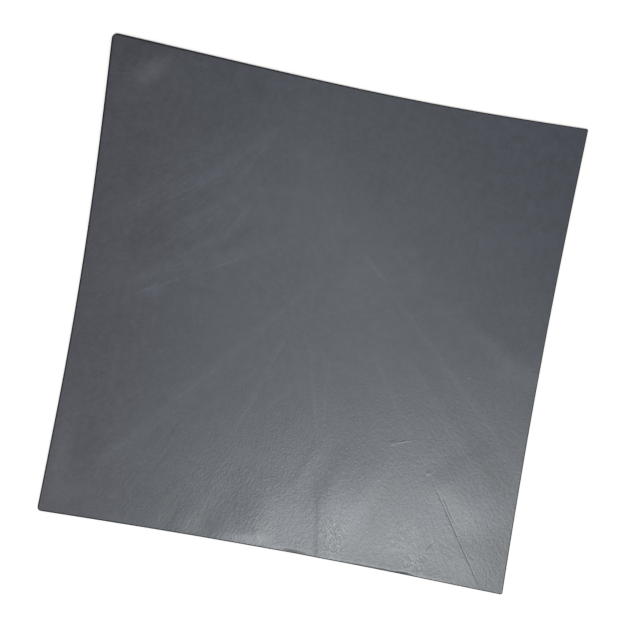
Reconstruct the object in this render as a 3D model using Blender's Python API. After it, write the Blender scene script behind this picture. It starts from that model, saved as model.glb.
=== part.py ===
"""Thermal pad sheet: one square of soft, filled silicone, knife cut and lying flat.

Units are metres and +Z is up. X runs along the far edge, from its left end to its right end,
and Y points towards that edge. The origin is the middle of the sheet's bounding box, on the
face that the sheet lies on.
"""

from collections import namedtuple
from math import pi, radians

import bmesh
import bpy
import numpy as np

# Size of the sheet
SIDE = 0.150
THICKNESS = 0.0010
EDGE_ROUND = 0.00025

# How far each corner lies from the corner of a true square of that side, across and along
FAR_LEFT_DRIFT = (-0.00119, 0.00133)
FAR_RIGHT_DRIFT = (-0.00015, -0.00089)
NEAR_RIGHT_DRIFT = (0.00067, -0.00111)
NEAR_LEFT_DRIFT = (0.00068, 0.00067)

# Radius of each corner, seen from above
FAR_LEFT_RADIUS = 0.0020
FAR_RIGHT_RADIUS = 0.0005
NEAR_RIGHT_RADIUS = 0.0006
NEAR_LEFT_RADIUS = 0.0012

# How far the middle of each edge pulls in, as the soft sheet shrinks after cutting
FAR_BOW = 0.00188
RIGHT_BOW = 0.00115
NEAR_BOW = 0.00115
LEFT_BOW = 0.00200

# How much more the second half of the far edge pulls in than its first half
FAR_LEAN = 0.00025

# Slanting ripples that run in from the near edge; they are low, but a satin skin shows them
RIPPLE_LIFT = 0.00003
RIPPLE_MIDDLE = -0.0305
RIPPLE_SPREAD = 0.016
RIPPLE_REACH = 0.021
RIPPLE_PITCH = 0.0115
RIPPLE_SLANT = 0.5

# How the left edge curls up, over a stretch at its near end
LEFT_CURL_LIFT = 0.00015
LEFT_CURL_REACH = 0.008
LEFT_CURL_MIDDLE = -0.054
LEFT_CURL_SPREAD = 0.024

# How the near edge curls up, over a stretch at its right end
NEAR_CURL_LIFT = 0.00013
NEAR_CURL_REACH = 0.007
NEAR_CURL_MIDDLE = 0.050
NEAR_CURL_SPREAD = 0.044

# Low swells. Each is a ridge from its start to its end, seen from above, whose left and right
# flanks have their own widths, and it fades out past both ends.
Swell = namedtuple("Swell", "start end left right lift fade")
NEAR_SHOULDER = Swell((-0.0045, -0.0600), (-0.0075, -0.0720), 0.015, 0.014, 0.000095, 0.014)
NEAR_SWELL = Swell((0.0170, -0.0510), (0.0240, -0.0530), 0.020, 0.016, 0.000125, 0.008)
CORNER_SWELL = Swell((0.0545, -0.0440), (0.0615, -0.0490), 0.024, 0.011, 0.00012, 0.010)
CORNER_RIDGE = Swell((0.0640, -0.0710), (0.0700, -0.0790), 0.018, 0.024, 0.00013, 0.013)
RIGHT_WAVE = Swell((0.0660, -0.0010), (0.0770, -0.0024), 0.016, 0.0095, 0.000076, 0.009)
WAVE_TAIL = Swell((0.0560, 0.0050), (0.0630, 0.0005), 0.009, 0.0050, 0.000026, 0.008)
FAR_DOME = Swell((-0.0655, 0.0675), (-0.0625, 0.0705), 0.010, 0.0065, 0.00021, 0.008)
NEAR_LIP = Swell((-0.0140, -0.0713), (-0.0070, -0.0703), 0.015, 0.0038, 0.00013, 0.009)
SWELLS = (
    NEAR_SHOULDER, NEAR_SWELL, CORNER_SWELL, CORNER_RIDGE, RIGHT_WAVE, WAVE_TAIL, FAR_DOME, NEAR_LIP,
)

# Cells of the grid: along the straight part of a side, and in half of a corner's arc
SPAN_CELLS = 50
ARC_CELLS = 3

# Faces that turn less than this to their neighbour are one flat face
FLAT_ANGLE = radians(0.02)
SHARP_ANGLE = radians(30)
RIM_ANGLE = radians(60)

PAD_COLOUR = (0.088, 0.093, 0.103, 1.0)
PAD_ROUGHNESS = 0.46


def clear_scene():
    """Removes every object, so that the script can run again in the same file."""
    for thing in list(bpy.data.objects):
        bpy.data.objects.remove(thing, do_unlink=True)


def pad_material():
    """Dark slate silicone with a satin surface."""
    material = bpy.data.materials.new("thermal_pad")
    material.use_nodes = True
    shader = material.node_tree.nodes["Principled BSDF"]
    shader.inputs["Base Color"].default_value = PAD_COLOUR
    shader.inputs["Roughness"].default_value = PAD_ROUGHNESS
    shader.inputs["Metallic"].default_value = 0.0
    material.diffuse_color = PAD_COLOUR
    return material


def corner(sign_across, sign_along, drift):
    """One corner of the square, moved by its drift."""
    return np.array([sign_across * SIDE / 2 + drift[0], sign_along * SIDE / 2 + drift[1]])


def side_distances(length, start_radius, end_radius):
    """Distances along a side: half a corner's arc, even steps, and half of the next arc.

    A corner's arc touches the side one radius from the corner, and its middle lies
    radius x (1 - cos 45 degrees) from it.
    """
    angles = np.linspace(pi / 4, 0, ARC_CELLS + 1)
    start = start_radius * (1 - np.sin(angles))
    end = length - end_radius * (1 - np.sin(angles[::-1]))
    span = np.linspace(start_radius, length - end_radius, SPAN_CELLS + 1)
    return np.concatenate([start[:-1], span, end[1:]])


def arc_depth(distance, radius):
    """How far a corner's arc lies inside the side: radius - root(radius^2 - (radius - s)^2)."""
    inside = np.clip(radius - distance, 0, radius)
    return radius - np.sqrt(radius ** 2 - inside ** 2)


def side_points(start, end, bow, lean, start_radius, end_radius):
    """Points of one edge, from the middle of one corner's arc to the middle of the next.

    Depth inside the straight line is bow x sin(pi t) - lean x sin(2 pi t), t from 0 to 1.
    """
    length = np.hypot(*(end - start))
    along = (end - start) / length
    inward = np.array([along[1], -along[0]])
    distance = side_distances(length, start_radius, end_radius)
    share = distance / length
    depth = bow * np.sin(pi * share) - lean * np.sin(2 * pi * share)
    depth += arc_depth(distance, start_radius) + arc_depth(length - distance, end_radius)
    return start + distance[:, None] * along + depth[:, None] * inward


def outline_sides():
    """The four edges, each as points: far and near from the left, left and right from near."""
    far_left = corner(-1, 1, FAR_LEFT_DRIFT)
    far_right = corner(1, 1, FAR_RIGHT_DRIFT)
    near_right = corner(1, -1, NEAR_RIGHT_DRIFT)
    near_left = corner(-1, -1, NEAR_LEFT_DRIFT)
    far = side_points(far_left, far_right, FAR_BOW, FAR_LEAN, FAR_LEFT_RADIUS, FAR_RIGHT_RADIUS)
    right = side_points(far_right, near_right, RIGHT_BOW, 0, FAR_RIGHT_RADIUS, NEAR_RIGHT_RADIUS)
    near = side_points(near_right, near_left, NEAR_BOW, 0, NEAR_RIGHT_RADIUS, NEAR_LEFT_RADIUS)
    left = side_points(near_left, far_left, LEFT_BOW, 0, NEAR_LEFT_RADIUS, FAR_LEFT_RADIUS)
    return far, near[::-1], left, right[::-1]


def sheet_grid():
    """A grid of points that fills the outline, with its bounding box centred on the origin.

    Each point blends the four edges: near and far by its share along the sheet, left and
    right by its share across, less the blend of the four corners, which both count.
    """
    far, near, left, right = outline_sides()
    across = (near[:, 0] - near[0, 0]) / (near[-1, 0] - near[0, 0])
    along = (left[:, 1] - left[0, 1]) / (left[-1, 1] - left[0, 1])
    u = across[:, None, None]
    v = along[None, :, None]
    edges = (1 - v) * near[:, None] + v * far[:, None] + (1 - u) * left[None] + u * right[None]
    corners = (1 - u) * ((1 - v) * near[0] + v * far[0]) + u * ((1 - v) * near[-1] + v * far[-1])
    grid = edges - corners
    flat = grid.reshape(-1, 2)
    return grid - (flat.min(axis=0) + flat.max(axis=0)) / 2


def hump(offset, half_width):
    """A smooth hump, 1 in the middle and 0 from the half width outwards: cos^2."""
    share = np.clip(np.abs(offset) / half_width, 0, 1)
    return np.cos(share * pi / 2) ** 2


def ridge(x, y, swell):
    """Height of one swell: lift x cos^2 across its ridge x cos^2 past its ends."""
    start = np.array(swell.start)
    end = np.array(swell.end)
    length = np.hypot(*(end - start))
    way = (end - start) / length
    along = (x - start[0]) * way[0] + (y - start[1]) * way[1]
    across = (y - start[1]) * way[0] - (x - start[0]) * way[1]
    past = np.maximum(-along, along - length).clip(0)
    flank = np.where(across > 0, hump(across, swell.left), hump(across, swell.right))
    return swell.lift * flank * hump(past, swell.fade)


def ripples(x, from_near):
    """Height of the slanting ripples: a raised cosine wave x cos^2 both ways."""
    shifted = x - RIPPLE_MIDDLE - RIPPLE_SLANT * from_near
    waves = 0.5 + 0.5 * np.cos(2 * pi * shifted / RIPPLE_PITCH)
    return RIPPLE_LIFT * hump(shifted, RIPPLE_SPREAD) * hump(from_near, RIPPLE_REACH) * waves


def curls(x, y, from_left, from_near):
    """Height of the curled edges: cos^2 at the left, (1 - distance / reach)^2 at the near one."""
    left = hump(from_left, LEFT_CURL_REACH) * hump(y - LEFT_CURL_MIDDLE, LEFT_CURL_SPREAD)
    near = np.clip(1 - from_near / NEAR_CURL_REACH, 0, 1) ** 2
    near *= hump(x - NEAR_CURL_MIDDLE, NEAR_CURL_SPREAD)
    return LEFT_CURL_LIFT * left + NEAR_CURL_LIFT * near


def sheet_lift(grid):
    """Height of the sheet's underside: 0 where it lies flat, more at its waves."""
    x = grid[..., 0]
    y = grid[..., 1]
    from_near = y - grid[:, :1, 1]
    from_left = x - grid[:1, :, 0]
    lift = ripples(x, from_near) + curls(x, y, from_left, from_near)
    for swell in SWELLS:
        lift += ridge(x, y, swell)
    return lift


def add_skin(mesh, grid, height, facing_up):
    """Adds one face of the sheet as a grid of quads, and returns its rows of vertices."""
    rows = []
    for points, levels in zip(grid, height):
        rows.append([mesh.verts.new((x, y, z)) for (x, y), z in zip(points, levels)])
    for first, second in zip(rows, rows[1:]):
        for a, b, c, d in zip(first, second, second[1:], first[1:]):
            mesh.faces.new((a, b, c, d) if facing_up else (d, c, b, a))
    return rows


def rim(rows):
    """The vertices round a grid's border, in order."""
    near = [row[0] for row in rows]
    right = rows[-1][1:]
    far = [row[-1] for row in rows[-2::-1]]
    left = rows[0][-2:0:-1]
    return near + right + far + left


def add_wall(mesh, lower, upper):
    """Joins the two skins with the cut edge that runs round the sheet."""
    low = rim(lower)
    high = rim(upper)
    for a, b, c, d in zip(low, low[1:] + low[:1], high[1:] + high[:1], high):
        mesh.faces.new((a, b, c, d))


def round_rim(sheet):
    """Rounds the two long edges of the cut; half the thickness is the most there is room for."""
    bevel = sheet.modifiers.new("rim", "BEVEL")
    bevel.width = min(EDGE_ROUND, 0.45 * THICKNESS)
    bevel.segments = 2
    bevel.limit_method = "ANGLE"
    bevel.angle_limit = RIM_ANGLE


def make_sheet():
    """The whole sheet: two skins one thickness apart, closed by the cut edge."""
    grid = sheet_grid()
    underside = sheet_lift(grid)
    mesh = bmesh.new()
    lower = add_skin(mesh, grid, underside, False)
    upper = add_skin(mesh, grid, underside + THICKNESS, True)
    add_wall(mesh, lower, upper)
    bmesh.ops.dissolve_limit(mesh, angle_limit=FLAT_ANGLE, verts=mesh.verts, edges=mesh.edges)
    data = bpy.data.meshes.new("thermal_pad")
    mesh.to_mesh(data)
    mesh.free()
    data.shade_smooth()
    data.set_sharp_from_angle(angle=SHARP_ANGLE)
    data.materials.append(pad_material())
    sheet = bpy.data.objects.new("thermal_pad", data)
    bpy.context.scene.collection.objects.link(sheet)
    round_rim(sheet)
    return sheet


clear_scene()
make_sheet()
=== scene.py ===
# %% [markdown]
# # A thermal pad sheet, photographed from above
#
# This is one square of soft, filled silicone, a little thicker than a credit card. Electronics
# makers cut it up and press the pieces between a hot chip and its heatsink. It is dark slate
# grey with a satin skin, and its beauty, such as it is, lies in small things: rub marks that
# fan out from the middle, a crease or two, and an edge that doesn't lie quite flat.
#
# The packed model gives the size and place of the sheet. This script gives it its skin.

# %% Load the packed sheet
from math import pi, radians

import bpy
import numpy as np
from mathutils import Matrix, Vector


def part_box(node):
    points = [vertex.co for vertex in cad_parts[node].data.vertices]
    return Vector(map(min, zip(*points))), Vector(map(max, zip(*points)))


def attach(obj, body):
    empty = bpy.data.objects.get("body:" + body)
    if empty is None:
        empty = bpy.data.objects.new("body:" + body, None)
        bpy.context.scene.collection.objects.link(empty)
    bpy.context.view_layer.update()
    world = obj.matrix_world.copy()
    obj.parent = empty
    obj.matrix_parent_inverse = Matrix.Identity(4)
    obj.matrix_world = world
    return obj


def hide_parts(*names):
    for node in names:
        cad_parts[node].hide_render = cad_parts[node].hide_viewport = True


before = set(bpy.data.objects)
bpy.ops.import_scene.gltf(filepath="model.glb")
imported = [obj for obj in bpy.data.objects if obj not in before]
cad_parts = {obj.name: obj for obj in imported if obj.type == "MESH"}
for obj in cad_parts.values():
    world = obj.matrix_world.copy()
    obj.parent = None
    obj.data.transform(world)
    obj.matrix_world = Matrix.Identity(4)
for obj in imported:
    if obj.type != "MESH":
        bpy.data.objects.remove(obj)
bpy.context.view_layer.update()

MM = 0.001
pad_low, pad_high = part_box("thermal_pad")
print("The packed sheet measures", [round(s / MM, 2) for s in pad_high - pad_low], "mm")

# %% [markdown]
# ## The camera
#
# A flat thing shows its outline best from straight above, and that is how it was
# photographed, with the camera turned by ten degrees so that the sheet seems to lean. The
# far corners look a little smaller than the near ones when a camera is tilted, so the tilt
# can be worked out from the four corners alone. A longer lens from further away would give
# nearly the same picture; this one matches the corners best.

# %% Place the camera
CAMERA_PLACE = Vector((-15.28, 18.88, 376.7)) * MM
TILT_ABOUT_X = radians(3.29)
TILT_ABOUT_Y = radians(2.20)
ROLL = radians(-10.28)
LENS_MM = 67.5


def camera_turn():
    """The camera's turn: roll first, then two small tilts, all undone as seen from the sheet."""
    tilt = Matrix.Rotation(TILT_ABOUT_X, 3, "X") @ Matrix.Rotation(TILT_ABOUT_Y, 3, "Y")
    return (tilt @ Matrix.Rotation(ROLL, 3, "Z")).transposed()


camera = bpy.data.objects.new("camera", bpy.data.cameras.new("camera"))
camera.data.lens = LENS_MM
camera.matrix_world = Matrix.Translation(CAMERA_PLACE) @ camera_turn().to_4x4()
bpy.context.scene.collection.objects.link(camera)
bpy.context.scene.camera = camera
print("The camera hangs", round(CAMERA_PLACE.z / MM), "mm above the sheet")

# %% [markdown]
# ## The outline
#
# The blank was cut as a square, but soft silicone relaxes after the knife has passed: the
# middle of every edge pulls in by a millimetre or two and the corners stay behind. One could
# trace such an outline point by point. It is shorter, and easier to change, to say it as a
# formula: a straight line from corner to corner, less half a sine wave.

# %% The corners and edges of the blank
SIDE = 150 * MM
EDGE_ROUND = 0.25 * MM
# signs of x and y, drift in mm, radius in mm
CORNERS = {
    "near_left": ((-1, -1), (0.68, 0.67), 1.2),
    "near_right": ((1, -1), (0.67, -1.11), 0.6),
    "far_right": ((1, 1), (-0.15, -0.89), 0.5),
    "far_left": ((-1, 1), (-1.19, 1.33), 2.0),
}
# from, to, bow in mm, lean in mm, way
EDGES = [
    ("near_left", "near_right", 1.15, 0, "across"),
    ("near_right", "far_right", 1.15, 0, "along"),
    ("far_right", "far_left", 1.88, 0.25, "back across"),
    ("far_left", "near_left", 2.00, 0, "back along"),
]
SPAN_CELLS = 280
ARC_CELLS = 4
CELLS = SPAN_CELLS + 2 * ARC_CELLS
# middle and half width of a crowded place in mm, extra density there
CROWD_ACROSS = [(14, 12, 1.6), (56, 24, 0.6)]
CROWD_ALONG = [(-75, 52, 1.3)]


def hump(offset, half_width):
    """A smooth hump, 1 in the middle and 0 from the half width outwards: cos^2."""
    share = np.clip(np.abs(offset) / half_width, 0, 1)
    return np.cos(share * pi / 2) ** 2


def cell_borders(crowds):
    """Borders of the cells along a side, from 0 to 1, closer together at each crowded place.

    The density of borders is 1 + the sum of extra x hump(place); its running sum, read
    backwards at even steps, gives the borders.
    """
    place = np.linspace(-SIDE / 2, SIDE / 2, 3001) / MM
    density = 1 + sum(extra * hump(place - middle, width) for middle, width, extra in crowds)
    count = np.concatenate([[0], np.cumsum((density[1:] + density[:-1]) / 2)])
    even = np.linspace(0, count[-1], SPAN_CELLS + 1)
    return np.interp(even, count, (place - place[0]) / (place[-1] - place[0]))


ACROSS, ALONG = cell_borders(CROWD_ACROSS), cell_borders(CROWD_ALONG)


def corner_place(name):
    """A corner of the square, moved by its drift, in metres."""
    signs, drift, _ = CORNERS[name]
    return np.array(signs) * SIDE / 2 + np.array(drift) * MM


def arc_depth(distance, radius):
    """How far a round corner lies inside its side: r - root(r^2 - (r - s)^2) at distance s."""
    inside = np.clip(radius - distance, 0, radius)
    return radius - np.sqrt(radius ** 2 - inside ** 2)


def edge_points(start_name, end_name, bow, lean, way):
    """One edge: a line, moved inwards by bow x sin(pi t) + lean x sin(2 pi t) and its arcs."""
    borders = ACROSS if "across" in way else ALONG
    borders = 1 - borders[::-1] if "back" in way else borders
    start, end = corner_place(start_name), corner_place(end_name)
    start_radius, end_radius = CORNERS[start_name][2] * MM, CORNERS[end_name][2] * MM
    length = np.hypot(*(end - start))
    along = (end - start) / length
    inward = np.array([-along[1], along[0]])
    angles = np.linspace(pi / 4, 0, ARC_CELLS + 1)
    first = start_radius * (1 - np.sin(angles))
    last = length - end_radius * (1 - np.sin(angles[::-1]))
    span = start_radius + borders * (length - start_radius - end_radius)
    distance = np.concatenate([first[:-1], span, last[1:]])
    share = distance / length
    depth = (bow * np.sin(pi * share) + lean * np.sin(2 * pi * share)) * MM
    depth += arc_depth(distance, start_radius) + arc_depth(length - distance, end_radius)
    return start + distance[:, None] * along + depth[:, None] * inward


def outline_loop():
    """The whole outline, anticlockwise from the near left corner, centred on its own box."""
    loop = np.concatenate([edge_points(*edge)[:-1] for edge in EDGES])
    return loop - (loop.min(axis=0) + loop.max(axis=0)) / 2


def outward_normals(loop):
    """At each point, the line between its two neighbours, turned a quarter turn outwards."""
    along = np.roll(loop, -1, axis=0) - np.roll(loop, 1, axis=0)
    along /= np.linalg.norm(along, axis=1, keepdims=True)
    return np.stack([along[:, 1], -along[:, 0]], axis=1)


outline = outline_loop()
outward = outward_normals(outline)
drawn = (outline.max(axis=0) - outline.min(axis=0)) / MM
print("The drawn outline measures", drawn.round(2), "mm, from", len(outline), "points")
widths = np.diff(ACROSS) * SIDE / MM
print("Cells are", widths.min().round(2), "to", widths.max().round(2), "mm wide")

# %% [markdown]
# ## How the sheet lies
#
# The sheet lies almost flat. A satin skin shows a slope of one degree as a clear change of
# tone, so the photograph tells how high its waves are: a tenth of a millimetre or so. The
# left and near edges curl up a little, slanting ripples run in from the near edge, and
# there are a few low swells. A ridge whose two flanks may differ in width can make them all.

# %% Ripples, swells and curls
THICKNESS = 1.0 * MM
RIPPLE = dict(lift=0.030, middle=-30.5, spread=16, reach=21, pitch=11.5, slant=0.5)
LEFT_CURL = dict(lift=0.15, reach=8, middle=-54, spread=24)
NEAR_CURL = dict(lift=0.13, reach=7, middle=50, spread=44)
# name, start, end, left half width, right half width, lift, fade, all in mm
SWELLS = [
    ("shoulder left of the crease", (-4.5, -60.0), (-7.5, -72.0), 15.0, 14.0, 0.095, 14),
    ("swell right of the crease", (17.0, -51.0), (24.0, -53.0), 20.0, 16.0, 0.125, 8),
    ("corner swell", (54.5, -44.0), (61.5, -49.0), 24.0, 11.0, 0.120, 10),
    ("corner ridge", (64.0, -71.0), (70.0, -79.0), 18.0, 24.0, 0.130, 13),
    ("right edge wave", (66.0, -1.0), (77.0, -2.4), 16.0, 9.5, 0.076, 9),
    ("tail of the edge wave", (56.0, 5.0), (63.0, 0.5), 9.0, 5.0, 0.026, 8),
    ("far left dome", (-65.5, 67.5), (-62.5, 70.5), 10.0, 6.5, 0.210, 8),
    ("near edge lip", (-14.0, -71.3), (-7.0, -70.3), 15.0, 3.8, 0.130, 9),
]


def ridge(x, y, start, end, left, right, lift, fade):
    """A ridge from start to end whose left and right flanks have their own widths.

    Height is lift x cos^2 across the ridge x cos^2 past its ends.
    """
    start, end = np.array(start), np.array(end)
    length = np.hypot(*(end - start))
    way = (end - start) / length
    along = (x - start[0]) * way[0] + (y - start[1]) * way[1]
    across = (y - start[1]) * way[0] - (x - start[0]) * way[1]
    past = np.maximum(-along, along - length).clip(0)
    flank = np.where(across > 0, hump(across, left), hump(across, right))
    return lift * flank * hump(past, fade)


def ripples(x, edges):
    """Slanting ripples at the near edge: a raised cosine wave x cos^2 both ways."""
    shifted = x - RIPPLE["middle"] - RIPPLE["slant"] * edges["near"]
    waves = 0.5 + 0.5 * np.cos(2 * pi * shifted / RIPPLE["pitch"])
    fade = hump(shifted, RIPPLE["spread"]) * hump(edges["near"], RIPPLE["reach"])
    return RIPPLE["lift"] * fade * waves


def curls(x, y, edges):
    """The left edge curls up with a cos^2 rise, and the near edge with (1 - distance / reach)^2."""
    left = hump(edges["left"], LEFT_CURL["reach"]) * hump(y - LEFT_CURL["middle"], LEFT_CURL["spread"])
    near = np.clip(1 - edges["near"] / NEAR_CURL["reach"], 0, 1) ** 2
    near = near * hump(x - NEAR_CURL["middle"], NEAR_CURL["spread"])
    return LEFT_CURL["lift"] * left + NEAR_CURL["lift"] * near


def sheet_lift(x, y, edges):
    """Height of the underside, all in mm: 0 where the sheet lies flat."""
    swells = sum(ridge(x, y, *swell[1:]) for swell in SWELLS)
    return ripples(x, edges) + curls(x, y, edges) + swells


print("The highest swell lifts the sheet by", max(swell[5] for swell in SWELLS), "mm")

# %% [markdown]
# ## A grid that fills the outline
#
# The skin is a grid of small squares. To make a grid fill a shape with four curved sides,
# blend the sides: each point takes its share of the near and far edges, plus its share of
# the left and right edges, less the blend of the four corners, which were counted twice.
# This is called a Coons patch, and it needs only whole-array arithmetic.

# %% Blend four edges into a grid


def split_loop(loop, cells):
    """The four sides of a closed loop: near and far run to the right, left and right away."""
    closed = np.concatenate([loop, loop[:1]])
    near, right = closed[:cells + 1], closed[cells:2 * cells + 1]
    far, left = closed[2 * cells:3 * cells + 1], closed[3 * cells:]
    return near, far[::-1], left[::-1], right


def fill_loop(loop, cells):
    """A grid of (cells + 1) x (cells + 1) points whose border is the loop."""
    near, far, left, right = split_loop(loop, cells)
    across = (near[:, 0] - near[0, 0]) / (near[-1, 0] - near[0, 0])
    along = (left[:, 1] - left[0, 1]) / (left[-1, 1] - left[0, 1])
    u, v = across[:, None, None], along[None, :, None]
    edges = (1 - v) * near[:, None] + v * far[:, None] + (1 - u) * left[None] + u * right[None]
    corners = (1 - u) * ((1 - v) * near[0] + v * far[0]) + u * ((1 - v) * near[-1] + v * far[-1])
    return edges - corners


inset_loop = outline - EDGE_ROUND * outward
top_grid = fill_loop(inset_loop, CELLS)
print("The top skin has", top_grid.shape[0] - 1, "x", top_grid.shape[1] - 1, "cells")

# %% [markdown]
# ## The relief of the skin
#
# Some forms are in the skin alone: a sharp crease that the sheet kept from being bent, a
# longer and finer one towards the near right corner, a few short stretches where the knife
# pressed the near edge down, and pimples where a grain of filler sits under the skin.

# %% Heights of the top skin
# name, start, end, left half width, right half width, lift, fade, all in mm
CREASES = [
    ("crease", (14.2, -62.0), (16.2, -75.0), 12.0, 2.3, 0.048, 15),
    ("ridge into the crease", (8.0, -42.0), (5.0, -50.0), 2.8, 2.4, 0.016, 7),
    ("long crease", (54.0, -55.0), (68.0, -74.5), 0.8, 5.0, 0.010, 12),
    ("small fold", (-5.5, -69.3), (-4.4, -71.5), 1.0, 1.0, 0.030, 1),
]
# middle and half length along the near edge, reach and drop, in mm
PRESSED = [(7.5, 9.0, 1.6, 0.15), (43.5, 4.0, 1.3, 0.10), (36.0, 28.0, 1.0, 0.10)]
# middle x and y, radius and lift, in mm
PIMPLES = [(32.6, -34.2, 0.75, 0.10), (45.3, -41.7, 0.7, 0.09), (5.1, -8.2, 0.6, 0.04)]


def skin_height(x, y, edges):
    """Height of the top skin in mm: the sheet's own lift, its thickness and its relief."""
    relief = sum(ridge(x, y, *crease[1:]) for crease in CREASES)
    for middle, spread, reach, drop in PRESSED:
        relief = relief - drop * hump(edges["near"], reach) * hump(x - middle, spread)
    for middle_x, middle_y, radius, lift in PIMPLES:
        relief = relief + lift * hump(np.hypot(x - middle_x, y - middle_y), radius)
    return sheet_lift(x, y, edges) + THICKNESS / MM + relief


print("The skin has", len(CREASES), "creases and", len(PIMPLES), "pimples of its own")

# %% [markdown]
# ## The sheet as one closed mesh
#
# The top skin, the cut edge and the underside are joined into one closed surface. The cut
# edge is a profile carried round the outline: a quarter circle, the straight cut, and
# another quarter circle. The underside is never seen close up, so its cells are four times
# as large, and a strip of seven-sided faces in the straight part of the cut joins the two.

# %% Build the sheet
ROUND_STEPS = 4
UNDER_ROUND_STEPS = 2
COARSE = 4


def edge_distances(x, y):
    """How far each point lies from the four edges, measured across or along, in mm."""
    near, far, left, right = split_loop(outline / MM, CELLS)
    return {
        "near": y - np.interp(x, near[:, 0], near[:, 1]),
        "far": np.interp(x, far[:, 0], far[:, 1]) - y,
        "left": x - np.interp(y, left[:, 1], left[:, 0]),
        "right": np.interp(y, right[:, 1], right[:, 0]) - x,
    }


def with_height(points, height):
    """Adds a height, a function of x and y in mm, to points in metres."""
    x, y = points[..., 0] / MM, points[..., 1] / MM
    level = height(x, y, edge_distances(x, y))
    return np.concatenate([points, level[..., None] * MM], axis=-1)


def rim_rows(loop, normals, base, sign, steps):
    """A quarter circle carried round the loop, from the skin's border out to the cut.

    At angle a the row lies radius x (1 - sin a) inside the outline, and
    radius x (1 - cos a) below the skin, or above it for the underside.
    """
    rows = []
    for angle in np.linspace(0, pi / 2, steps + 1)[1:]:
        flat = loop - EDGE_ROUND * (1 - np.sin(angle)) * normals
        row = with_height(flat, base)
        row[:, 2] += sign * EDGE_ROUND * (1 - np.cos(angle))
        rows.append(row)
    return rows


def border(numbers):
    """The border of a grid of vertex numbers, anticlockwise from its near left corner."""
    near, right = numbers[:-1, 0], numbers[-1, :-1]
    far, left = numbers[:0:-1, -1], numbers[0, :0:-1]
    return np.concatenate([near, right, far, left])


def grid_quads(numbers):
    """One quad for each cell of a grid of vertex numbers, facing up."""
    a, b, c, d = numbers[:-1, :-1], numbers[1:, :-1], numbers[1:, 1:], numbers[:-1, 1:]
    return np.stack([a, b, c, d], axis=-1).reshape(-1, 4)


def band_quads(upper, lower):
    """Quads between two closed rows of vertex numbers, facing out."""
    return np.stack([lower, np.roll(lower, -1), np.roll(upper, -1), upper], axis=-1)


def build_sheet():
    """The closed sheet: vertices, quads, and the strip that joins fine cells to coarse."""
    points, quads = [], []
    used = 0

    def add(block):
        nonlocal used
        numbers = used + np.arange(block[..., 0].size).reshape(block.shape[:-1])
        points.append(block.reshape(-1, 3))
        used += block[..., 0].size
        return numbers

    top = add(with_height(top_grid, skin_height))
    quads.append(grid_quads(top))
    row = border(top)
    for ring in rim_rows(outline, outward, skin_height, -1, ROUND_STEPS):
        lower = add(ring)
        quads.append(band_quads(row, lower))
        row = lower
    fine_row = row
    coarse_loop, coarse_out = outline[::COARSE], outward[::COARSE]
    under_grid = fill_loop(coarse_loop - EDGE_ROUND * coarse_out, CELLS // COARSE)
    under = add(with_height(under_grid, sheet_lift))
    quads.append(grid_quads(under)[:, ::-1])
    row = border(under)
    for ring in rim_rows(coarse_loop, coarse_out, sheet_lift, 1, UNDER_ROUND_STEPS):
        upper = add(ring)
        quads.append(band_quads(upper, row))
        row = upper
    fine = np.append(fine_row, fine_row[0])
    ends = np.arange(0, len(fine_row), COARSE)
    strip = [fine[ends + step] for step in range(COARSE, -1, -1)]
    strip = np.stack([row, np.roll(row, -1)] + strip, axis=-1)
    return np.concatenate(points), np.concatenate(quads), strip


def mesh_object(name, points, faces):
    """A smooth shaded mesh object at the origin."""
    mesh = bpy.data.meshes.new(name)
    mesh.from_pydata(points.tolist(), [], faces)
    mesh.shade_smooth()
    made = bpy.data.objects.new(name, mesh)
    bpy.context.scene.collection.objects.link(made)
    return made


points, quads, strip = build_sheet()
pad = mesh_object("pad_sheet", points, quads.tolist() + strip.tolist())
triangles = 2 * len(quads) + (COARSE + 1) * len(strip)
print("The sheet has", len(points), "vertices and", triangles, "triangles")

# %% [markdown]
# ## Shader maths as plain sums
#
# A material's pattern is a small calculation for every point of the surface. Blender draws
# it as boxes and wires; in a script it reads better as a sum. The class below wraps one wire
# and gives it the usual operators, so that a pattern can be written as in a maths book.

# %% Wires that can be added and multiplied


class Wire:
    """A value that changes over the surface. Each operator adds one Math node."""

    def __init__(self, finish, socket):
        self.finish = finish
        self.socket = socket

    def math(self, operation, *values):
        """The result of a Math node on this value and the others."""
        sockets = dict(enumerate((self,) + values))
        return self.finish.node("ShaderNodeMath", {"operation": operation}, sockets)

    def __add__(self, other):
        return self.math("ADD", other)

    def __radd__(self, other):
        return self.math("ADD", other)

    def __sub__(self, other):
        return self.math("SUBTRACT", other)

    def __rsub__(self, other):
        return (self * -1.0).math("ADD", other)

    def __mul__(self, other):
        return self.math("MULTIPLY", other)

    def __truediv__(self, other):
        return self.math("DIVIDE", other)

    def __pow__(self, other):
        return self.math("POWER", other)

    def __abs__(self):
        return self.math("ABSOLUTE")

    def between(self, low, high):
        """0 up to low and 1 from high onwards, with a smooth rise between them."""
        sockets = {"Value": self, "From Min": low, "From Max": high}
        return self.finish.node("ShaderNodeMapRange", {"interpolation_type": "SMOOTHSTEP"}, sockets)


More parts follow.
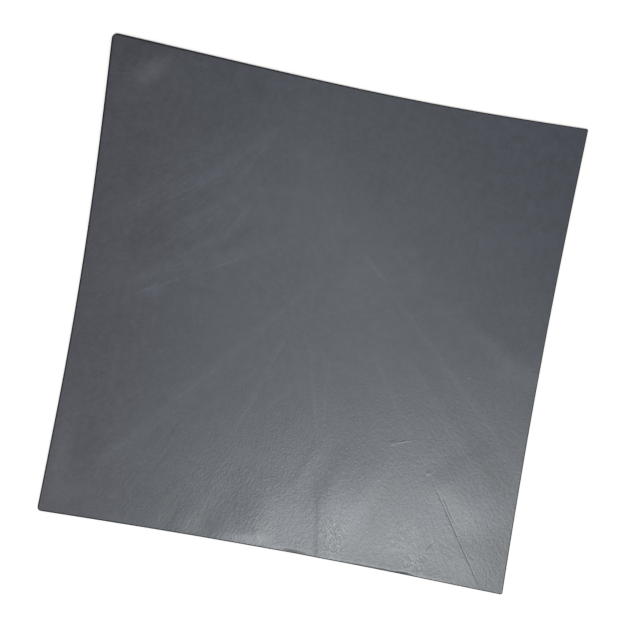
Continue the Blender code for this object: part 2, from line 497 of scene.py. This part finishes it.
class Finish:
    """A material, and the one method that adds nodes to it."""

    def __init__(self, name):
        self.material = bpy.data.materials.new(name)
        self.material.use_nodes = True
        self.tree = self.material.node_tree
        self.shader = self.tree.nodes["Principled BSDF"]

    def feed(self, socket, value):
        """Links a wire to a socket, or sets the socket's own number or colour."""
        if isinstance(value, Wire):
            self.tree.links.new(value.socket, socket)
        else:
            socket.default_value = value

    def node(self, kind, settings=None, sockets=None, output=0):
        """Adds a node: its settings first, then its sockets. Returns one output as a wire."""
        made = self.tree.nodes.new(kind)
        for name, value in (settings or {}).items():
            setattr(made, name, value)
        for name, value in (sockets or {}).items():
            self.feed(made.inputs[name], value)
        return Wire(self, made.outputs[output])

    def attribute(self, name):
        """A number that is kept with the mesh, as a wire."""
        return self.node("ShaderNodeAttribute", {"attribute_name": name}, None, "Fac")

    def point(self, x, y, z=0.0):
        """Three values joined into a vector wire."""
        return self.node("ShaderNodeCombineXYZ", None, {"X": x, "Y": y, "Z": z})

    def mix(self, share, first, second):
        """A colour between two others: the first where share is 0, the second where it is 1."""
        sockets = {0: share, 6: first, 7: second}
        return self.node("ShaderNodeMix", {"data_type": "RGBA"}, sockets, 2)

    def dot(self, vector, constants):
        """The dot product of a vector wire with three numbers."""
        sockets = {0: vector, 1: constants}
        return self.node("ShaderNodeVectorMath", {"operation": "DOT_PRODUCT"}, sockets, "Value")

    def blend(self, share, sockets):
        """Blends in a second shader: none of it where share is 0, all where it is 1."""
        second = self.node("ShaderNodeBsdfPrincipled", None, sockets, "BSDF")
        first = Wire(self, self.shader.outputs["BSDF"])
        mixed = self.node("ShaderNodeMixShader", None, {0: share, 1: first, 2: second}, "Shader")
        self.feed(self.tree.nodes["Material Output"].inputs["Surface"], mixed)

    def set(self, **values):
        """Feeds the shader's sockets, named with underscores for spaces."""
        for name, value in values.items():
            self.feed(self.shader.inputs[name.replace("_", " ")], value)


print("Besides operators, wires know", [name for name in vars(Wire) if "_" not in name])

# %% [markdown]
# ## Where the skin is paler or darker: rub haze, painted highlights and painted shade
#
# Every rub leaves a haze on silicone: a soft, slightly paler patch. Some patches here are
# painted light instead. There are painted highlights where the satin skin catches a glint: on
# the pimples, on the lip of the near edge and beside the crease. There is painted shade where
# the skin turns away, as at the near right corner. The broad ones are worked out here for each
# vertex and kept with the mesh as one value, because a vertex every half millimetre is fine
# enough for them. The hair-thin ones come later, in the material.
#
# A second value, called cut, tells the cut edge and its rounding from the skin. Both are
# painted near black, partly for the matt cut and partly as painted shade along the rim. The dark
# line of the cut is a little wider than its rounding, so the row of vertices beside it gets a
# value in between, which is painted shade.

# %% Soft patches and bands of haze, painted highlights and painted shade
# Painted shade on the row of skin beside the cut, which widens the dark line along the rim.
PAINTED_RIM_SHADE = 0.5
# Some patches are painted highlights, where the skin catches a glint, and some are painted shade,
# where it turns away; the rest are rub haze.
# middle x and y, half length and half width in mm, turn in degrees, strength
HAZE_AND_PAINTED_LIGHT_PATCHES = [
    (-9, 14, 12, 10, -60, -0.5), (14, 14, 10, 8, 0, 0.5), (11, 47, 12, 8, 0, -0.45),
    (25, 36, 12, 7, -30, -0.3), (1, 57, 8, 6, 0, -0.4), (5, 29, 6, 4, -30, 0.3),
    (31, 18, 4, 4, 0, 0.35), (27, 26, 3, 2, 20, 0.5), (-12, 49, 5, 3, 0, 0.45),
    (-29, 68, 5, 2.5, -60, -0.5), (-26, 22, 4, 3, 45, -0.6), (-26, 27.5, 2.5, 1.5, 30, 0.5),
    (-42, 30, 6, 3, 20, -0.5), (55, 37, 10, 7, 0, 0.25), (42, 10, 5, 3, 0, 0.3),
    (54, 11, 6, 3, 0, -0.35), (-54, 15, 12, 5, 20, -0.4), (-3, -33, 8, 10, 0, -0.35),
    (19, -26, 8, 8, 0, -0.35), (-50, 0.3, 5, 1.6, 17, 1.0), (-37, -0.5, 1.6, 1.2, 0, 0.5),
    (-61, -15, 10, 12, 0, -0.3), (-61, -50, 5, 12, 10, -0.4), (60, 4, 9, 3, -30, -0.35),
    (67, -9, 10, 6, -12, 0.35), (60, -30, 13, 3.5, -33, -0.3), (-49, -66, 8, 4, 20, -0.3),
    (21, 1, 6, 8, 0, 0.25), (66, 10, 10, 7, 0, 0.3), (-35, -28, 16, 5, 40, 0.3),
    (-62, 24, 8, 4, 20, 0.3), (-42, 57, 16, 9, 0, -0.2), (-64, -67, 6, 3, 35, 0.4),
    (72, -66, 12, 8, 60, -1.5), (21, -61, 6, 10, 0, 1.5), (-65, 66.5, 5, 2.4, 40, 0.8),
    (-66, 62, 8, 7, 0, 0.25), (-54, 67, 9, 6, 0, 0.3), (-63, 6, 7, 9, 0, 0.5), (-2, -56, 9, 8, 0, 0.7),
    (8, -66, 8, 6, 0, 1.0), (46, -56, 14, 8, -30, 0.7), (64, -52, 8, 6, 0, 0.7),
    (52, -66, 5, 4, 0, -0.8), (-17.5, -66, 4, 6, 20, 1.2), (-8.5, -72.5, 7.5, 2.2, -5, 2.0),
    (-4.9, -69.7, 1.6, 1.0, 30, 1.2), (-36, -64, 15, 8, 0, -0.5), (-17, 44, 9, 7, 0, -0.35),
    (74, -12, 6, 9, 0, -0.3), (13.5, -47, 4, 6, 0, 0.9), (33.2, -33.9, 0.9, 0.6, 20, 1.0),
    (45.3, -41.4, 0.6, 0.7, 0, 1.0),
]
# start x and y, end x and y, half width in mm, strength
BANDS = [
    (-22, 55, -41, 36, 1.6, 0.45), (-41, 36, -58, 26, 2.6, 0.35), (-23, 52, -30, 39, 1.0, 0.35),
    (-30, 33, -46, 22, 1.6, 0.45), (-26, 30, -30, 22, 0.9, 0.5), (-31, 21, -54, 4, 1.1, 0.5),
    (-24, 17.5, -54, 3.5, 1.8, 0.6), (-38, 27, -52, 12, 1.3, 0.3), (-8, 24, -58, -3, 0.8, 0.35),
    (-37, 50, -58, 29, 1.5, 0.25), (-4, 8, -58, -57, 1.0, 0.35), (-7, -7, -17, -38, 0.8, 0.35),
    (-1, -22, -12, -33, 1.0, 0.3), (1, -8, 8, -35, 0.7, 0.4), (8.5, -14, 10, -35, 0.7, 0.45),
    (23, -10, 45, -41, 0.8, 0.35), (14, 21.5, 20, 16.5, 0.9, 0.7), (23, 12.5, 50, -12.5, 0.9, 0.55),
    (50, -12.5, 73, -36, 1.1, 0.5), (22, 25, 30, 19, 1.1, 0.5), (34, -9, 69, -50, 1.0, 0.35),
    (39, 10, 60, 1, 1.6, 0.4), (68, -33, 75, -39, 1.6, 0.8), (-72, -39, -63, -35, 1.0, 0.25),
    (46, -17, 70, -44, 2.2, -0.45), (-24, 24, -40, 8, 1.6, -0.25), (-21, -15, -50, -50, 2.2, 0.3),
    (-44, -42, -66, -66, 3.5, 0.3),
]


def patch(x, y, middle_x, middle_y, half_long, half_wide, turn, strength):
    """A soft oval: strength x exp(-(a^2 + b^2)), with a and b measured in its half sizes."""
    c, s = np.cos(radians(turn)), np.sin(radians(turn))
    a = ((x - middle_x) * c + (y - middle_y) * s) / half_long
    b = ((y - middle_y) * c - (x - middle_x) * s) / half_wide
    return strength * np.exp(-a * a - b * b)


def band(x, y, start_x, start_y, end_x, end_y, half_width, strength):
    """A soft stripe: exp(-(across / half width)^2), fading past its ends over three widths."""
    length = np.hypot(end_x - start_x, end_y - start_y)
    way_x, way_y = (end_x - start_x) / length, (end_y - start_y) / length
    along = (x - start_x) * way_x + (y - start_y) * way_y
    across = (y - start_y) * way_x - (x - start_x) * way_y
    past = np.maximum(-along, along - length).clip(0)
    return strength * np.exp(-(across / half_width) ** 2 - (past / (3 * half_width)) ** 2)


def haze_and_painted_light(x, y):
    """How pale the skin is, with painted highlights and shade: all patches and bands, 0 on plain skin.
    """
    return sum(patch(x, y, *each) for each in HAZE_AND_PAINTED_LIGHT_PATCHES) + sum(band(x, y, *each) for each in BANDS)


def store(made, name, values):
    """Keeps one number for each vertex with the mesh."""
    kept = made.data.attributes.new(name, "FLOAT", "POINT")
    kept.data.foreach_set("value", values.astype(np.float32))


def cut_and_painted_rim_shade():
    """1 on the cut edge, 0 on both skins, and a painted rim shade on the row of skin beside the cut.

    The values stand in the order in which build_sheet adds its blocks.
    """
    top = np.pad(np.zeros((CELLS - 3, CELLS - 3)), 1, constant_values=PAINTED_RIM_SHADE)
    top = np.pad(top, 1, constant_values=1)
    rim = np.ones(ROUND_STEPS * len(outline))
    under = np.zeros((CELLS // COARSE + 1) ** 2)
    share = np.concatenate([top.ravel(), rim, under])
    return np.pad(share, (0, len(points) - share.size), constant_values=1)


x, y, z = (points / MM).T
store(pad, "haze_and_painted_light", haze_and_painted_light(x, y))
# The cut value also places painted shade along the rim.
store(pad, "cut", cut_and_painted_rim_shade())
# The value holds rub haze together with painted highlights and painted shade.
print("Haze runs from", haze_and_painted_light(x, y).min().round(2), "to", haze_and_painted_light(x, y).max().round(2))

# %% [markdown]
# ## Hair lines
#
# Where a fold was rubbed, the skin keeps a pale line no wider than a hair. They fan out from
# two places on the sheet. A line that thin would need a far finer mesh, so each is drawn by
# the material: two dot products tell how far a point lies across the line and along it.
# The few grooves are drawn in the same way, but they change the height, not the colour.

# %% The pale lines, from place to place in mm
# start and end in mm, strength
HAIRS = [
    ((-8.6, 24.4), (-21.0, 16.5), 0.5), ((-21.0, 16.5), (-36.6, 8.6), 0.9),
    ((-36.6, 8.6), (-57.3, -2.7), 1.0), ((-25.0, 18.2), (-40.9, 12.0), 0.5),
    ((-38.0, 12.6), (-54.0, 4.2), 0.8), ((-30.3, 23.0), (-46.5, 9.8), 0.6),
    ((-26.0, 30.0), (-31.0, 21.5), 0.5), ((-22.8, 51.8), (-29.6, 39.0), 0.5),
    ((-30.7, 32.2), (-45.0, 22.5), 0.5), ((-31.5, 30.0), (-50.0, 14.0), 0.5),
    ((-22.4, 55.0), (-33.1, 42.4), 0.6), ((-28.0, 46.0), (-42.0, 35.0), 0.5),
    ((-30.0, 43.0), (-52.0, 28.0), 0.4), ((-34.0, 27.0), (-55.0, 10.5), 0.4),
    ((-3.6, 8.0), (-21.4, -15.3), 0.8), ((-21.4, -15.3), (-39.0, -34.0), 0.8),
    ((-44.0, -40.5), (-58.0, -57.0), 0.4), ((-6.7, -7.2), (-11.4, -22.1), 0.7),
    ((-11.4, -22.1), (-17.2, -38.5), 0.8), ((-1.2, -22.1), (-9.1, -31.2), 0.4),
    ((0.8, -8.4), (4.8, -22.3), 0.6), ((4.8, -22.3), (8.5, -36.0), 0.9),
    ((7.2, -8.0), (8.4, -20.0), 0.5), ((8.4, -20.0), (10.2, -36.0), 0.9),
    ((7.0, -37.2), (12.0, -36.8), 0.7), ((21.5, -7.0), (27.5, -17.5), 0.8),
    ((27.5, -17.5), (36.0, -29.5), 0.7), ((36.0, -29.5), (45.0, -41.3), 0.8),
    ((14.3, 21.4), (19.8, 16.5), 0.9), ((23.4, 12.6), (35.8, 1.3), 0.6),
    ((35.8, 1.3), (49.1, -12.0), 0.6), ((49.1, -12.0), (72.5, -35.0), 0.45),
    ((22.0, 25.2), (28.8, 20.0), 0.5), ((33.5, -7.5), (48.0, -24.0), 0.6),
    ((48.0, -24.0), (68.5, -50.0), 0.7), ((52.0, -24.0), (73.0, -44.0), 0.5),
    ((40.0, 9.5), (57.0, 3.0), 0.3), ((45.5, -42.0), (50.0, -48.5), 1.0),
    ((58.2, -20.6), (73.9, -34.8), 0.6), ((42.0, -6.7), (51.2, -14.4), 0.6),
    ((46.5, -15.6), (56.7, -30.0), 0.5), ((43.4, -19.3), (52.0, -33.0), 0.4),
]
# start and end in mm, depth share, below 0 for a raised line
GROOVES = [
    ((33.2, -34.1), (38.2, -32.2), -0.6), ((43.4, -38.4), (70.0, -77.5), 0.75),
    ((51.4, -48.2), (56.0, -55.6), 0.6), ((48.9, -66.2), (51.2, -63.1), 0.6),
    ((51.3, -11.5), (52.9, -9.6), 0.8), ((-37.4, 56.9), (-36.4, 56.5), 0.8),
]
HAIR_REACH = 0.416  # mm from the line to where it has faded
END_REACH = 0.4  # mm from its end to where it has faded
END_SHARE = 0.25  # share of its length over which each end fades


def hair(finish, place, start, end, strength):
    """One hair line: 1 on the line, 0 a hair's width beside it, fading out towards its ends.

    place is (x, y, 1), so a dot product with (a, b, c) is a x + b y + c.
    """
    start, end = np.array(start), np.array(end)
    length = np.hypot(*(end - start))
    way = (end - start) / length
    side = np.array([-way[1], way[0]])
    middle = (start + end) / 2
    across = abs(finish.dot(place, (*side, -side @ middle)))
    along = abs(finish.dot(place, (*way, -way @ middle)))
    thin = across.between(HAIR_REACH, 0.0)
    return thin * along.between(length / 2 + END_REACH, length / 2 - END_SHARE * length) * strength


print("There are", len(HAIRS), "hair lines and", len(GROOVES), "grooves")

# %% [markdown]
# ## Patterns from noise
#
# The finer marks are too many to set one by one. Noise makes them: random blots, stretched
# and turned to suit their cause. Rubbing draws them out along the rays of a fan, a fold
# draws them out one way, and plain handling leaves them round. One could paint them instead,
# but noise stays sharp however close the camera comes.

# %% Blots, ovals and fans
# size of the blots both ways, in mm or for an angle in radians, then detail and roughness
NOISES = {
    "grain": ((0.7, 0.7), 3.0, 0.7),
    "mottle": ((22, 22), 3.0, 0.6),
    "cloudy": ((4.0, 4.0), 2.0, 0.5),
    "speckle": ((1.9, 1.9), 1.0, 0.5),
    "wander": ((9, 9), 2.0, 0.5),
    "unbroken": ((1.6, 1.6), 2.0, 0.7),
    "unfilled": ((3.0, 3.0), 2.0, 0.6),
    "strokes": ((0.020, 12.0), 3.0, 0.6),
    "leather": ((0.011, 1.6), 3.0, 0.6),
    "worn": ((18, 18), 2.0, 0.6),
    "folds": ((3.6, 1.0), 3.0, 0.6),
    "scuffs": ((2.6, 0.45), 2.0, 0.7),
    "handled": ((16, 16), 2.0, 0.5),
    "rays": ((0.018, 20.0), 3.0, 0.7),
    "bark": ((1.1, 2.4), 2.0, 0.6),
}


def noise(finish, name, x, y):
    """Random blots along x and y, from -0.5 to 0.5, as NOISES describes them."""
    size, detail, roughness = NOISES[name]
    place = finish.point(x / size[0], y / size[1])
    sockets = {"Vector": place, "Scale": 1.0, "Detail": detail, "Roughness": roughness}
    return finish.node("ShaderNodeTexNoise", {"noise_dimensions": "2D"}, sockets, "Fac") - 0.5


def oval(x, y, middle, half_size):
    """1 in the middle of an oval and 0 outside it, with a smooth rise between."""
    a, b = (x - middle[0]) / half_size[0], (y - middle[1]) / half_size[1]
    return (a * a + b * b).between(1.0, 0.0)


def turned(x, y, c, s):
    """A place in turned coordinates: x c + y s, and y c - x s."""
    return x * c + y * s, y * c - x * s


def angle_about(x, y, centre):
    """The direction in which a place lies from a fan's centre, in radians."""
    return (y - centre[1]).math("ARCTAN2", x - centre[0])


def distance_from(x, y, centre):
    """How far a place lies from a fan's centre: root(x^2 + y^2), both counted from there."""
    return ((x - centre[0]) ** 2.0 + (y - centre[1]) ** 2.0) ** 0.5


print("There are", len(NOISES), "kinds of noise")

# %% [markdown]
# ## The marks, one kind after the other
#
# The sheet was rubbed along two fans of rays, trodden into small folds at the left of the near
# edge, and scuffed over its left half. In three spots near the near edge the release film has
# left a pattern like bark: lines where a noise crosses zero, which is how a network of lines can
# be had from blots. Their glints are painted: the lines are painted pale grey as a painted
# highlight.

# %% Wires for every kind of mark
ROUND_MARKS = ("grain", "mottle", "cloudy", "speckle")
FAN_CENTRE = (0.0, 22.0)
BUNDLE_CENTRE = (-14.0, 60.0)
FOLD_TURN = (0.44, 0.90)
SCUFF_TURN = (0.85, 0.53)
BUNDLE_TURN = (1.0, 0.35)
WANDER = 1.2  # mm to the side, for noise of 1
# middle and half size in mm
LEATHER_OVAL = ((32.0, -62.0), (78.0, 66.0))
TRODDEN_OVAL = ((-17.0, -63.0), (23.0, 22.0))
BUNDLE_OVAL = ((-31.0, 43.0), (30.0, 26.0))
# middle and half size in mm, strength
BARK = [
    ((19.0, -66.8), (5.8, 10.8), 1.35),
    ((41.0, -62.8), (6.5, 7.5), 0.65),
    ((46.0, -71.0), (5.8, 4.2), 1.0),
]


def line_marks(finish, x, y):
    """Hair lines, which wander and break up, and grooves, which are straight."""
    wander = noise(finish, "wander", x, y) * WANDER
    winding = finish.point(x + wander, y + wander, 1.0)
    straight = finish.point(x, y, 1.0)
    hairs = sum(hair(finish, winding, *each) for each in HAIRS)
    grooves = sum(hair(finish, straight, *each) for each in GROOVES)
    unbroken = noise(finish, "unbroken", x, y).between(-0.22, 0.18)
    unfilled = noise(finish, "unfilled", x, y).between(-0.32, -0.04)
    return {"hairs": hairs * unbroken, "grooves": grooves * unfilled}


def fan_marks(finish, x, y):
    """Strokes and a leather grain, both drawn out along the rays of the large fan."""
    angle, distance = angle_about(x, y, FAN_CENTRE), distance_from(x, y, FAN_CENTRE)
    strokes = noise(finish, "strokes", angle, distance)
    leather = noise(finish, "leather", angle, distance) * oval(x, y, *LEATHER_OVAL)
    worn = noise(finish, "worn", x, y).between(-0.12, 0.12)
    near_part = (20.0 - y).between(30.0, 75.0)
    off_left = (x + 70.0).between(0.0, 14.0)
    return {"strokes": strokes * (worn * near_part * off_left), "leather": leather}


def fold_marks(finish, x, y):
    """Small folds at the left of the near edge, and scuffs over the left half."""
    folds = noise(finish, "folds", *turned(x, y, *FOLD_TURN)) * oval(x, y, *TRODDEN_OVAL)
    scuffs = noise(finish, "scuffs", *turned(x, y, *SCUFF_TURN))
    left_part = (x * -1.0).between(10.0, 60.0)
    handled = noise(finish, "handled", x, y).between(-0.2, 0.15)
    return {"folds": folds, "scuffs": scuffs * (left_part * handled)}


def bundle_marks(finish, x, y):
    """A bundle of rays in the far left, from the small fan's centre."""
    rays = noise(finish, "rays", angle_about(x, y, BUNDLE_CENTRE), x + y)
    return {"bundle": rays * oval(*turned(x, y, *BUNDLE_TURN), *BUNDLE_OVAL)}


def bark_marks(finish, x, y):
    """Lines where a noise crosses zero, in the three spots that the release film marked; painted pale
    as a highlight.
    """
    lines = abs(noise(finish, "bark", x, y)).between(0.11, 0.03)
    return {"bark": lines * sum(oval(x, y, *spot) * strength for *spot, strength in BARK)}


def skin_marks(finish, x, y):
    """A wire for each kind of mark, by name."""
    marks = {name: noise(finish, name, x, y) for name in ROUND_MARKS}
    # Rub haze together with painted highlights and painted shade.
    marks["haze_and_painted_light"] = finish.attribute("haze_and_painted_light")
    for make in (line_marks, fan_marks, fold_marks, bundle_marks, bark_marks):
        marks.update(make(finish, x, y))
    return marks


print("The bark pattern shows in", len(BARK), "spots")

# %% [markdown]
# ## The silicone skin
#
# The filler in this silicone is a grey ceramic powder, so the body is slate grey, a little
# warmer on the left, and the skin is neither glossy nor matt. A single grey would look like
# paint. The real skin is paler wherever it is marked, and some marks also change its height,
# which a satin skin shows far better than a change of colour. The tables below say how much
# of each. The haze also holds painted highlights and painted shade, and the bark lines are
# painted pale as a painted highlight. The cut edge has no skin: it is matt, and is painted near
# black, partly as painted shade along the rim.

# %% Make the pad's finish
SLATE = (0.042, 0.047, 0.060, 1.0)
WARM_SLATE = (0.047, 0.046, 0.060, 1.0)
WARM_LEFT_OF = (40.0, 72.0)  # mm left of the middle: where it starts, where it is full
# Painted highlight: the bark lines are mixed towards this pale grey, which stands in for their glints.
PAINTED_BARK_GLINT_GREY = (0.215, 0.225, 0.225, 1.0)
PAINTED_BARK_GLINT_SHARE = 0.42
SKIN_ROUGHNESS = 0.297
# Partly painted shade: the near black of the cut edge and its rounding stands in for the shade along
# the rim as well as for the matt cut.
CUT_AND_PAINTED_RIM_SHADE_LOOK = {"Base Color": (0.012, 0.012, 0.015, 1.0), "Roughness": 0.9, "Specular IOR Level": 0.1}
# The haze weight also carries painted highlights and painted shade.
PALER = {
    "haze_and_painted_light": 0.30, "mottle": 0.2, "cloudy": 0.34, "speckle": 0.32, "strokes": 0.8,
    "folds": 1.0, "bundle": 0.85, "scuffs": 0.7, "grain": 0.5, "hairs": 0.54,
}
ROUGHER = {"grain": 0.03, "leather": 0.02}
HIGHER = {
    "grain": 0.022, "leather": 0.026, "strokes": 0.014, "folds": 0.015, "bark": 0.012,
    "grooves": -0.03,
}


def weigh(marks, shares, start):
    """The start, plus each named mark times its share."""
    return sum((marks[name] * share for name, share in shares.items()), start)


def pad_finish():
    """Dark slate silicone with a satin skin, rub marks and a fine grain."""
    finish = Finish("pad_silicone")
    place = finish.node("ShaderNodeTexCoord", output="Object")
    apart = [finish.node("ShaderNodeSeparateXYZ", None, {"Vector": place}, way) for way in "XY"]
    x, y = (wire / MM for wire in apart)
    marks = skin_marks(finish, x, y)
    slate = finish.mix((x * -1.0).between(*WARM_LEFT_OF), SLATE, WARM_SLATE)
    sockets = {"Vector": slate, "Scale": weigh(marks, PALER, 1.0)}
    skin = finish.node("ShaderNodeVectorMath", {"operation": "SCALE"}, sockets)
    # Painted highlight on the bark lines.
    colour = finish.mix(marks["bark"] * PAINTED_BARK_GLINT_SHARE, skin, PAINTED_BARK_GLINT_GREY)
    sockets = {"Strength": 1.0, "Distance": MM, "Height": weigh(marks, HIGHER, 0.0)}
    bump = finish.node("ShaderNodeBump", None, sockets, "Normal")
    roughness = weigh(marks, ROUGHER, SKIN_ROUGHNESS)
    finish.set(Base_Color=colour, Roughness=roughness, Normal=bump)
    # The cut edge, partly painted rim shade.
    finish.blend(finish.attribute("cut"), CUT_AND_PAINTED_RIM_SHADE_LOOK)
    return finish.material


pad.data.materials.append(pad_finish())
print("The finish uses", len(pad.data.materials[0].node_tree.nodes), "nodes")

# %% [markdown]
# ## Floor and light
#
# The sheet was photographed on plain white. The floor is a pale matt plane that glows a
# little, so that it comes out as white as the photographer's paper while the sheet stays
# dark. A satin skin mirrors each lamp as a soft glint, and the photograph shows where the
# glints lie: a long one across the near edge and fainter ones around it. So each softbox is
# placed by its glint, as a photographer would move it until its reflection lies right.

# %% Floor, sky and softboxes
FLOOR_HALF = 2.0
FLOOR_GAP = 0.02 * MM
FLOOR_COLOUR = (0.97, 0.95, 0.92, 1.0)
FLOOR_GLOW = 0.2
SKY_COLOUR = (1, 1, 1.03, 1)
SKY_STRENGTH = 0.48
LAMP_HEIGHT = 1.4
LAMP_COLOUR = (0.96, 1.0, 1.01)
# name, glint in mm, size in m, turn in degrees, power in watts
SOFTBOXES = [
    ("lamp_bar", (36, -96), (0.46, 0.14), 33, 8.15),
    ("lamp_front", (10, -80), (0.30, 0.25), 0, 1.2),
    ("lamp_right", (75, -38), (0.30, 0.25), 0, 0.7),
    ("lamp_over", (-4, 26), (0.30, 0.25), 0, 1.05),
    ("lamp_left", (-90, -70), (0.30, 0.30), 0, 0.36),
]


def make_floor():
    """A plain white floor, a hair below the sheet."""
    h = FLOOR_HALF
    corners = np.array([(-h, -h), (h, -h), (h, h), (-h, h)])
    points = np.concatenate([corners, np.full((4, 1), -FLOOR_GAP)], axis=1)
    floor = mesh_object("floor", points, [(0, 1, 2, 3)])
    finish = Finish("floor_white")
    finish.set(Base_Color=FLOOR_COLOUR, Roughness=0.9)
    finish.set(Emission_Color=(1.0, 1.0, 1.0, 1.0), Emission_Strength=FLOOR_GLOW)
    floor.data.materials.append(finish.material)


def add_softbox(name, glint, size, turn, power):
    """A soft lamp, placed by where on the sheet its reflection shows, with glint in mm.

    A flat skin mirrors the camera's line of sight, so the lamp lies on the line that leaves
    the glint as the sight line comes in, at the studio's lamp height.
    """
    x, y = np.array(glint) * MM
    reach = LAMP_HEIGHT / CAMERA_PLACE.z
    lamp_x, lamp_y = x + (x - CAMERA_PLACE.x) * reach, y + (y - CAMERA_PLACE.y) * reach
    place = Vector((lamp_x, lamp_y, LAMP_HEIGHT))
    light = bpy.data.lights.new(name, "AREA")
    light.shape = "RECTANGLE"
    light.size, light.size_y = size
    light.energy = power
    light.color = LAMP_COLOUR
    made = bpy.data.objects.new(name, light)
    made.matrix_world = Matrix.Translation(place) @ Matrix.Rotation(radians(turn), 4, "Z")
    bpy.context.scene.collection.objects.link(made)
    print(name, "hangs at", [round(c, 2) for c in place], "m")


def make_sky():
    """An even white surround."""
    world = bpy.data.worlds.new("surround")
    world.use_nodes = True
    background = world.node_tree.nodes["Background"]
    background.inputs["Color"].default_value = SKY_COLOUR
    background.inputs["Strength"].default_value = SKY_STRENGTH
    bpy.context.scene.world = world


make_floor()
make_sky()
for softbox in SOFTBOXES:
    add_softbox(*softbox)
bpy.context.scene.view_settings.view_transform = "Standard"

# %% Hand over to the frame
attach(pad, "root")
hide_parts("thermal_pad")
